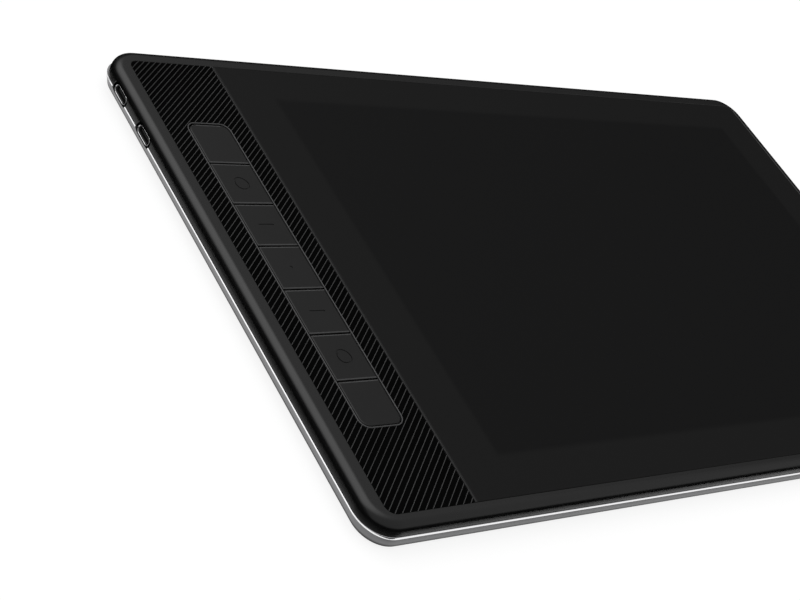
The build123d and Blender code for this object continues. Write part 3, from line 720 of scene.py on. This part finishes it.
def stripPoints(grow):
    return outline(strip["left"] - grow, strip["right"] + grow, strip["near"] - grow, strip["far"] + grow,
                   [panel["stripCorner"] + grow] * 4, steps=12)


def panelPoints():
    wide, square = panel["corner"], panel["square"]
    return outline(panelLow.x, panelHigh.x, panelLow.y, panelHigh.y, [square, square, wide, wide], steps=12)


def insideRounded(x, y, left, right, near, far, corner):
    # how far a point is inside a rectangle with round corners, below zero outside
    deepX = min(x - left, right - x)
    deepY = min(y - near, far - y)
    if deepX < corner and deepY < corner:
        return corner - math.hypot(corner - deepX, corner - deepY)
    return min(deepX, deepY)


def ridgeRoom(x, y):
    # above zero where a ridge may stand: inside the panel and outside the lip round the keys
    corner = panel["corner"] if x < (panelLow.x + panelHigh.x) / 2 else 0
    room = insideRounded(x, y, panelLow.x, panelHigh.x, panelLow.y, panelHigh.y, corner)
    grow = panel["slack"] + panel["lip"]
    lip = insideRounded(x, y, strip["left"] - grow, strip["right"] + grow, strip["near"] - grow,
                        strip["far"] + grow, panel["stripCorner"] + grow)
    return min(room, -lip)


def ridgeEnd(point, way, inner, outer):
    # halves the stretch between a place with room and one without
    for _ in range(panel["halvings"]):
        half = (inner + outer) / 2
        spot = point + way * half
        if ridgeRoom(spot.x, spot.y) > 0:
            inner = half
        else:
            outer = half
    return inner


def ridgeShape(point, way, across, start, end):
    half = panel["ridge"] / 2
    height = panelHigh.z - panelBase
    step = 2 * panel["ridge"]
    ends = []
    for share, rise in ridgeProfile:
        side = point + across * (half * share)
        first = start
        last = end
        if ridgeRoom(*(side + way * (start - step)).xy) < 0 < ridgeRoom(*(side + way * (start + step)).xy):
            first = ridgeEnd(side, way, start + step, start - step)
        if ridgeRoom(*(side + way * (end + step)).xy) < 0 < ridgeRoom(*(side + way * (end - step)).xy):
            last = ridgeEnd(side, way, end - step, end + step)
        ends.append((side + way * first, side + way * last, panelBase + height * rise))
    rings = [[(spots[index].x, spots[index].y, spots[2]) for spots in ends] for index in (0, 1)]
    return loft(rings)


def ridgeShapes():
    angle = math.radians(panel["angle"])
    way = Vector((math.cos(angle), math.sin(angle), 0))
    across = Vector((-way.y, way.x, 0))
    centre = Vector(((recess["left"] + panelHigh.x + fit) / 2, (recess["near"] + recess["far"]) / 2, 0))
    reach = (recess["far"] - recess["near"] + panelHigh.x - panelLow.x + 2 * fit) / 2
    count = int(reach / panel["pitch"])
    sample = panel["sample"]
    shapes = []
    for step in range(-count, count + 1):
        # the pitch shrinks from the first ridge to the last
        spread = 1 - panel["spreadShare"] * step / count
        point = centre + across * (panel["pitch"] * step * spread + panel["shift"])
        start = None
        for index in range(-int(reach / sample), int(reach / sample) + 1):
            along = index * sample
            spot = point + way * along
            free = ridgeRoom(spot.x, spot.y) > 0
            if free and start is None:
                start = along
            if not free and start is not None:
                if along - start > panel["ridge"]:
                    shapes.append(ridgeShape(point, way, across, start, along - sample))
                start = None
    return shapes


def panelShapes():
    grow = panel["slack"]
    outer, opening = panelPoints(), stripPoints(grow)
    # the plate's top between the ridges takes the painted shade finish
    plate = loft([flat(outer, panelLow.z), flat(outer, panelBase), flat(opening, panelBase),
                  flat(opening, panelLow.z)], closed=True, finish=2)
    wide = grow + panel["lip"]
    edge = panel["lipEdge"]
    crest = panelHigh.z
    lip = [(wide, panelBase - fit), (wide, crest - edge), (wide - edge / 2, crest - edge / 4),
           (wide - edge, crest), (grow + edge, crest), (grow + edge / 2, crest - edge / 4),
           (grow, crest - edge), (grow, panelBase - fit)]
    return [plate, loft([flat(stripPoints(out), z) for out, z in lip], closed=True, finish=1)]


panelPiece = solid("ribbed_panel", panelShapes() + ridgeShapes(), panel["sharp"])
dress(panelPiece, "tablet", "panel_black", [ridgeBlack, lipGreyAndEdgeHighlight, grooveShadeBlack], "key_panel")

say("keys")

key = {
    "edge": 0.4 * mm, "rounds": 3, "steps": 6, "split": 0.2 * mm, "margin": 0.3 * mm, "drop": 1.3 * mm,
    "flangeThick": 0.6 * mm, "plungerHalf": 1.4 * mm, "corner": 3.5 * mm, "square": 0.12 * mm,
    "underCorner": 0.05 * mm, "tightCorner": 0.02 * mm, "markDepth": 0.22 * mm, "slope": 0.1 * mm,
    "ringRadius": 3.25 * mm, "ringLine": 0.6 * mm, "ringSides": 56, "barLength": 7 * mm, "barLine": 0.7 * mm,
    "dotRadius": 0.6 * mm, "dotSides": 24, "sharp": 50, "count": 7}


def keyShape(low, high, corners):
    x, y = spotOf(low, high)
    half = key["plungerHalf"]
    tiny = [key["underCorner"]] * 4
    left, right = low.x + panel["flange"], high.x - panel["flange"]
    near, far = max(low.y + key["split"], strip["near"]), high.y - key["split"]

    def cap(inset, z):
        rounded = [max(corner - inset, key["tightCorner"]) for corner in corners]
        return flat(outline(left + inset, right - inset, near + inset, far - inset, rounded, key["steps"]), z)

    flangeTop = high.z - key["drop"]
    flangeLow = flangeTop - key["flangeThick"]
    plunger = outline(x - half, x + half, y - half, y + half, tiny, key["steps"])
    skirt = outline(low.x, high.x, low.y, high.y, tiny, key["steps"])
    rings = [flat(plunger, low.z), flat(plunger, flangeLow), flat(skirt, flangeLow), flat(skirt, flangeTop)]
    rings.append(cap(0, flangeTop))
    rings += [cap(key["edge"] * inward, high.z - key["edge"] * below)
              for inward, below in quarter(key["rounds"])]
    rings.append(cap(key["edge"] + key["margin"], high.z))
    points, faces, numbers = loft(rings)
    # painted highlight: the edges along the splits are painted lighter
    for index, face in enumerate(faces):
        spot = sum((Vector(points[corner]) for corner in face), Vector()) / len(face)
        lit = min(spot.y - low.y, far - spot.y) < key["edge"] + key["split"] and spot.z > high.z - key["edge"]
        numbers[index] = 1 if lit and min(spot.x - left, right - spot.x) > key["edge"] else 0
    return points, faces, numbers


def markShape(index, x, y, high):
    # 2 and 6 carry a ring, 3 and 5 a bar and 4 a dot, all sunk in the face
    slope = key["slope"]
    depth = key["markDepth"]
    if index in (2, 6):
        outer, inner = key["ringRadius"], key["ringRadius"] - key["ringLine"]
        section = [(outer + slope, high + depth), (outer - slope, high - depth),
                   (inner + slope, high - depth), (inner - slope, high + depth)]
        return loft([flat(circle(radius, key["ringSides"]), z, x, y) for radius, z in section], closed=True)
    stages = ((-slope, high - depth), (slope, high + depth))
    if index in (3, 5):
        return loft([flat(pill(key["barLength"], key["barLine"], grow), z, x, y) for grow, z in stages])
    if index == 4:
        return loft([flat(circle(key["dotRadius"] + grow, key["dotSides"]), z, x, y) for grow, z in stages])
    return None


for index in range(1, key["count"] + 1):
    name = f"key_{index}"
    low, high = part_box(name)
    wide, square = key["corner"], key["square"]
    corners = {1: [square, wide, wide, square], 7: [wide, square, square, wide]}.get(index, [square] * 4)
    made = solid(f"{name}_cap", [keyShape(low, high, corners)], key["sharp"])
    dress(made, name, "key_black", [keyBlack, lipGreyAndEdgeHighlight], name)
    mark = markShape(index, *spotOf(low, high), high.z)
    if mark:
        carve(made, [mark], sharp=key["sharp"])

say("ports and power button")

plug = {"wall": 0.3 * mm, "lip": 0.12 * mm, "flare": 0.4 * mm, "trim": 0.14 * mm, "flareDepth": 0.5 * mm,
        "bright": 0.12 * mm}
tongue = {
    "half": 3.35 * mm, "thick": 0.35 * mm, "corner": 0.1 * mm, "tip": 0.25 * mm, "tipInset": 0.2 * mm,
    "tipThin": 0.15 * mm, "base": 2 * mm, "overlap": 0.1 * mm, "contacts": 12, "contactWidth": 0.28 * mm,
    "contactPitch": 0.5 * mm, "contactStart": 0.4 * mm, "contactReach": 3.4 * mm, "contactThick": 0.03 * mm}
contactGold = polishedMetal("contact_gold", {
    "dark": 0.5, "light": 0.65, "roughness": 0.25, "grain": 0.2 * mm, "stretch": (0.2, 1, 1),
    "depth": 0.001 * mm})
# black plastic of the tongue's core, and painted shade inside the steel shells
coreBlackAndShade = mouldedBlack("core_black_and_shade", {
    "dark": 0.012, "light": 0.016, "gloss": 0.4, "roughness": 0.5, "clouds": 3 * mm, "grain": 0.2 * mm,
    "depth": 0.004 * mm})


def shellShape(low, high):
    centre = (low + high) / 2
    width, height = high.y - low.y - 2 * plug["flare"], high.z - low.z - 2 * plug["flare"]
    wall, lip, flare = plug["wall"], plug["lip"], plug["flare"] - plug["trim"]
    back = low.x + plug["flareDepth"]
    bright = plug["bright"]
    stages = [(high.x, 0), (back, 0), (low.x + lip, flare), (low.x, flare - lip / 2), (low.x, flare - lip),
              (low.x + bright, flare - lip - bright), (back, -wall), (high.x, -wall)]
    # painted shade: dark inside, from the bright rim of the mouth on, where the shell lies in shadow
    return loft([facingX(pill(width, height, grow), x, centre.y, centre.z) for x, grow in stages],
                closed=True, finishes=[0, 0, 0, 0, 0, 1, 1, 0])


def tongueShapes(low, high):
    # a block at the back, a thin tongue out of it, and a row of contacts on each of its faces
    centre = (low + high) / 2
    half, thick = tongue["half"], tongue["thick"]
    back = high.x - tongue["base"]
    stages = [(low.x, half - tongue["tipInset"], thick - tongue["tipThin"]),
              (low.x + tongue["tip"], half, thick), (back + tongue["overlap"], half, thick)]
    shapes = [blockShape(back, high.x, low.y, high.y, low.z, high.z),
              loft([facingX(outline(-reach, reach, -rise, rise, [tongue["corner"]] * 4, steps=3), x, centre.y,
                            centre.z) for x, reach, rise in stages])]
    for side in (-1, 1):
        for index in range(tongue["contacts"]):
            y = centre.y + tongue["contactPitch"] * (index - (tongue["contacts"] - 1) / 2)
            z = centre.z + side * thick
            points, faces, numbers = blockShape(
                low.x + tongue["contactStart"], low.x + tongue["contactReach"],
                y - tongue["contactWidth"] / 2, y + tongue["contactWidth"] / 2,
                z - tongue["contactThick"], z + tongue["contactThick"])
            shapes.append((points, faces, [1] * len(faces)))
    return shapes


for index, name in enumerate(sockets, 1):
    dress(solid(f"port_shell_{index}", [shellShape(*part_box(name))]), "tablet", "port_steel",
          [portSteel, coreBlackAndShade], name)
    core = f"usb_c_core_{index}"
    dress(solid(f"port_core_{index}", tongueShapes(*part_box(core))), "tablet", "port_black",
          [coreBlackAndShade, contactGold], core)


def buttonShape(low, high):
    x, z = (low.x + high.x) / 2, (low.z + high.z) / 2
    halfX, halfZ = (high.x - low.x) / 2, (high.z - low.z) / 2
    flange = outline(-halfX, halfX, -halfZ, halfZ, [button["square"]] * 4, steps=10)
    flangeFar = low.y + button["flange"]
    rings = [facingY(flange, x, low.y, z), facingY(flange, x, flangeFar, z)]
    rings.append(facingY(pill(button["width"], button["height"]), x, flangeFar, z))
    for inward, below in quarter(button["rounds"]):
        rings.append(facingY(pill(button["width"], button["height"], -button["edge"] * inward), x,
                             high.y - button["edge"] * below, z))
    return loft(rings)


buttonPiece = solid("power_key", [buttonShape(*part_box("power_button"))])
dress(buttonPiece, "power_button", "button_black", [caseBlack], "power_button")

say("legs, feet and screws")

plate = {"rim": 2.2 * mm, "hollow": 1.2 * mm, "rib": 1.4 * mm, "cells": 3, "cellCorner": 1.2 * mm,
         "edge": 0.2 * mm, "sides": 12}


def legPiece(side):
    low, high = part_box(f"leg_{side}")
    pin = middle(f"hinge_pin_{side}")
    thick = (high.z - low.z) / 2
    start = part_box(f"leg_pad_{side}")[1].y
    profile = [(start, -thick), (pin.y, -thick)]
    profile += [(pin.y + thick * math.sin(turn), -thick * math.cos(turn))
                for turn in [math.pi * step / plate["sides"] for step in range(1, plate["sides"])]]
    profile += [(pin.y, thick), (start, thick)]
    rings = [[(x, y, pin.z + z) for y, z in profile] for x in (low.x, high.x)]
    made = solid(f"leg_{side}_plate", [loft(rings)])
    near = start + plate["rim"]
    far = pin.y - 2 * thick
    cell = (far - near - plate["rib"] * (plate["cells"] - 1)) / plate["cells"]
    starts = [near + index * (cell + plate["rib"]) for index in range(plate["cells"])]
    carve(made, [blockShape(low.x + plate["rim"], high.x - plate["rim"], begin, begin + cell,
                            high.z - plate["hollow"], high.z + overrun, plate["cellCorner"], steps=4)
                 for begin in starts])
    bore = circle(leg["pinRadius"] + fit, leg["boreSides"])
    carve(made, [loft([facingX(bore, x, pin.y, pin.z) for x in (low.x - overrun, high.x + overrun)])])
    soften(made, plate["edge"], rounds=2, sharp=40)
    return made


pad = {"radius": 0.6 * mm, "rounds": 6, "grooves": 3, "grooveStart": 1.5 * mm, "groovePitch": 1.4 * mm,
       "grooveDepth": 0.3 * mm, "mouthHalf": 0.35 * mm, "floorHalf": 0.2 * mm}


def padShape(side):
    # a rubber end with grooves across its sole and a round tip
    low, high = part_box(f"leg_pad_{side}")
    middleZ = (low.z + high.z) / 2
    half = (high.z - low.z) / 2
    groove = -half + pad["grooveDepth"]
    profile = [(high.y, half), (high.y, -half)]
    for index in range(pad["grooves"]):
        y = high.y - pad["grooveStart"] - pad["groovePitch"] * index
        profile += [(y + pad["mouthHalf"], -half), (y + pad["floorHalf"], groove),
                    (y - pad["floorHalf"], groove), (y - pad["mouthHalf"], -half)]
    radius = pad["radius"]
    turns = quarter(pad["rounds"])
    profile += [(low.y + radius * below, -half + radius * inward) for inward, below in turns]
    profile += [(low.y + radius * inward, half - radius * below) for inward, below in turns]
    return loft([[(x, y, middleZ + z) for y, z in profile] for x in (low.x, high.x)])


for side in ("left", "right"):
    body = f"leg_{side}"
    dress(legPiece(side), body, "leg_grey", [legMetal], body)
    dress(solid(f"leg_{side}_pad", [padShape(side)]), body, "foot_rubber", [footRubber], f"leg_pad_{side}")

footCount = 4
footRound = [(-0.45 * mm, 0), (-0.2 * mm, 0.06 * mm), (-0.05 * mm, 0.2 * mm), (0, 0.42 * mm)]    # in and up


def footShape(low, high):
    x, y = spotOf(low, high)
    return loft([flat(pill(high.x - low.x, high.y - low.y, grow), low.z + z, x, y)
                 for grow, z in footRound + [(0, high.z - low.z)]])


for index in range(1, footCount + 1):
    name = f"rubber_foot_{index}"
    dress(solid(f"{name}_pad", [footShape(*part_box(name))]), "tablet", "foot_rubber", [footRubber], name)


def screwShape(low, high):
    # a countersunk head with a six-lobed recess, and a plain shank
    x, y = spotOf(low, high)
    sides = screw["sides"]
    star = []
    for index in range(sides):
        turn = 2 * math.pi * index / sides
        radius = screw["star"] + screw["lobe"] * math.cos(screw["lobes"] * turn)
        star.append((radius * math.cos(turn), radius * math.sin(turn)))
    rings = [flat(star, low.z + screw["starDepth"], x, y), flat(star, low.z, x, y)]
    stages = [(screw["head"] - screw["headEdge"], 0), (screw["head"], screw["headRise"]),
              (screw["shank"], screw["depth"]), (screw["shank"], high.z - low.z)]
    return loft(rings + [flat(circle(radius, sides), low.z + z, x, y) for radius, z in stages])


screws = solid("cover_screws", [screwShape(low, high) for low, high in islands("case_screws")])
dress(screws, "tablet", "screw_steel", [screwSteel], "case_screws")

say("inner pieces")

innerLooks = {
    "tape_black": {"colour": (0.02, 0.02, 0.02), "roughness": 0.6, "grain": 2 * mm},
    "bond_clear": {"colour": (0.6, 0.6, 0.6), "roughness": 0.2, "grain": 5 * mm, "depth": 0.002 * mm},
    "lcd_glass": {"colour": (0.02, 0.02, 0.022), "roughness": 0.15, "grain": 10 * mm, "depth": 0.001 * mm},
    "film_white": {"colour": (0.85, 0.85, 0.85), "roughness": 0.5, "grain": 1 * mm, "depth": 0.005 * mm},
    "guide_clear": {"colour": (0.85, 0.88, 0.88), "roughness": 0.1, "grain": 1 * mm},
    "board_white": {"colour": (0.8, 0.8, 0.78), "roughness": 0.5, "grain": 1 * mm},
    "board_green": {"colour": (0.02, 0.13, 0.06), "roughness": 0.4, "grain": 2 * mm, "depth": 0.02 * mm},
    "pressed_steel": {"colour": (0.45, 0.45, 0.46), "roughness": 0.4, "grain": 2 * mm, "metal": 1.0},
    "shield_aluminium": {"colour": (0.6, 0.6, 0.6), "roughness": 0.35, "grain": 4 * mm, "depth": 0.02 * mm,
                         "metal": 1.0},
    "foam_grey": {"colour": (0.12, 0.12, 0.12), "roughness": 0.9, "grain": 0.5 * mm, "depth": 0.1 * mm},
    "chip_black": {"colour": (0.02, 0.02, 0.02), "roughness": 0.55, "grain": 0.4 * mm},
    "coil_grey": {"colour": (0.12, 0.12, 0.13), "roughness": 0.7, "grain": 0.4 * mm, "depth": 0.02 * mm},
    "capacitor_tan": {"colour": (0.35, 0.25, 0.14), "roughness": 0.5, "grain": 0.5 * mm},
    "socket_cream": {"colour": (0.6, 0.56, 0.45), "roughness": 0.5, "grain": 1 * mm},
    "flex_amber": {"colour": (0.45, 0.22, 0.05), "roughness": 0.3, "grain": 1.5 * mm},
    "switch_steel": {"colour": (0.5, 0.5, 0.5), "roughness": 0.35, "grain": 1 * mm, "metal": 1.0},
    "screw_steel": {"colour": (0.25, 0.25, 0.26), "roughness": 0.35, "grain": 0.6 * mm, "metal": 1.0},
    "pin_steel": {"colour": (0.5, 0.5, 0.5), "roughness": 0.25, "grain": 0.8 * mm, "depth": 0.004 * mm,
                  "metal": 1.0},
}
innerFinishes = {name: inner(f"inner_{name}", look) for name, look in innerLooks.items()}
for part in frame["record"]["subparts"]:
    node = frame["nodes"][part["node"]]
    if not node.hide_render:
        node.data.materials.clear()
        node.data.materials.append(innerFinishes[part["material_slot"]].material)

say("studio")

studio = {
    "floorSize": 60.0, "floorColour": 0.25, "floorGlow": 0.83, "floorRoughness": 0.9, "horizon": 0.01,
    "sky": 0.45, "skyLow": 0.33, "skyHigh": 0.7, "front": 0.9, "lamp": 1.35, "lampWay": (-0.2, 0.48, 0.854),
    "lampEdge": 0.64, "lampCore": 0.98, "flagSide": 7.2 * mm, "flagFront": 4.4 * mm, "flagEnd": 3000 * mm,
    "flagLift": 0.4 * mm, "flagColour": 0.004, "flagRoughness": 1.0}


def matte(name, value, roughness):
    return Finish(name, {"Base Color": grey(value), "Roughness": roughness, "Specular IOR Level": 0.0})


def floorFinish():
    # the floor is white to the camera and in reflections, and keeps the shadow
    finish = matte("floor_white", studio["floorColour"], studio["floorRoughness"])
    camera, glossy, through = [finish.node("ShaderNodeLightPath", out=f"Is {kind} Ray")
                               for kind in ("Camera", "Glossy", "Transmission")]
    finish.set("Emission Color", grey(1.0))
    finish.set("Emission Strength", camera.most(glossy).most(through) * studio["floorGlow"])
    return finish


half = studio["floorSize"] / 2
floorMesh = bpy.data.meshes.new("floor")
floorCorners = [(-half, -half), (half, -half), (half, half), (-half, half)]
floorMesh.from_pydata(flat(floorCorners, cadLow.z), [], [(0, 1, 2, 3)])
floorMesh.materials.append(floorFinish().material)
floor = bpy.data.objects.new("floor", floorMesh)
bpy.context.scene.collection.objects.link(floor)

# a black flag round the object, seen only in reflections, keeps the side walls dark
flagGaps = [(studio["flagSide"], studio["flagFront"]), (studio["flagEnd"], studio["flagEnd"])]
flagRings = [flat(outline(coverLow.x - side, coverHigh.x + side, coverLow.y - front, coverHigh.y + front,
                          [cover["corner"] + front] * 4), cadLow.z + studio["flagLift"])
             for side, front in flagGaps]
flagPoints, flagFaces, flagNumbers = loft(flagRings)
flag = solid("flag", [(flagPoints, flagFaces[:-2], flagNumbers[:-2])])    # without the two caps
flag.data.materials.append(matte("flag_black", studio["flagColour"], studio["flagRoughness"]).material)
for ray in ("camera", "diffuse", "transmission", "shadow"):
    setattr(flag, f"visible_{ray}", False)

world = bpy.data.worlds.new("soft_sky")
bpy.context.scene.world = world
world.use_nodes = True
sky = Nodes(world.node_tree)
direction = sky.node("ShaderNodeTexCoord", out="Generated")
height = sky.node("ShaderNodeSeparateXYZ", sockets={0: direction}, out="Z")
towardFront, facing = [
    sky.node("ShaderNodeVectorMath", {"operation": "DOT_PRODUCT"}, {0: direction, 1: way}, "Value")
    for way in ((0, -1, 0), studio["lampWay"])]
raised = height + studio["front"] * towardFront.most(0)
dome = sky.ramp(raised, studio["skyLow"], studio["skyHigh"], studio["horizon"], studio["sky"])
glow = dome + sky.ramp(facing, studio["lampEdge"], studio["lampCore"], 0, studio["lamp"])
sky.plug(world.node_tree.nodes["Background"].inputs["Color"], grey(1.0))
sky.plug(world.node_tree.nodes["Background"].inputs["Strength"], glow)

say("camera")

cameraView = {"spot": (-0.54250, -0.32131, 0.36603), "turn": (49.884, -28.897, -31.993), "lens": 77.07,
              "sensor": 36, "nearest": 0.01}
cameraData = bpy.data.cameras.new("camera")
cameraData.lens = cameraView["lens"]
cameraData.sensor_width = cameraView["sensor"]
cameraData.clip_start = cameraView["nearest"]
camera = bpy.data.objects.new("camera", cameraData)
camera.location = cameraView["spot"]
camera.rotation_euler = [math.radians(angle) for angle in cameraView["turn"]]
bpy.context.scene.collection.objects.link(camera)
bpy.context.scene.camera = camera
bpy.context.scene.view_settings.view_transform = "Standard"
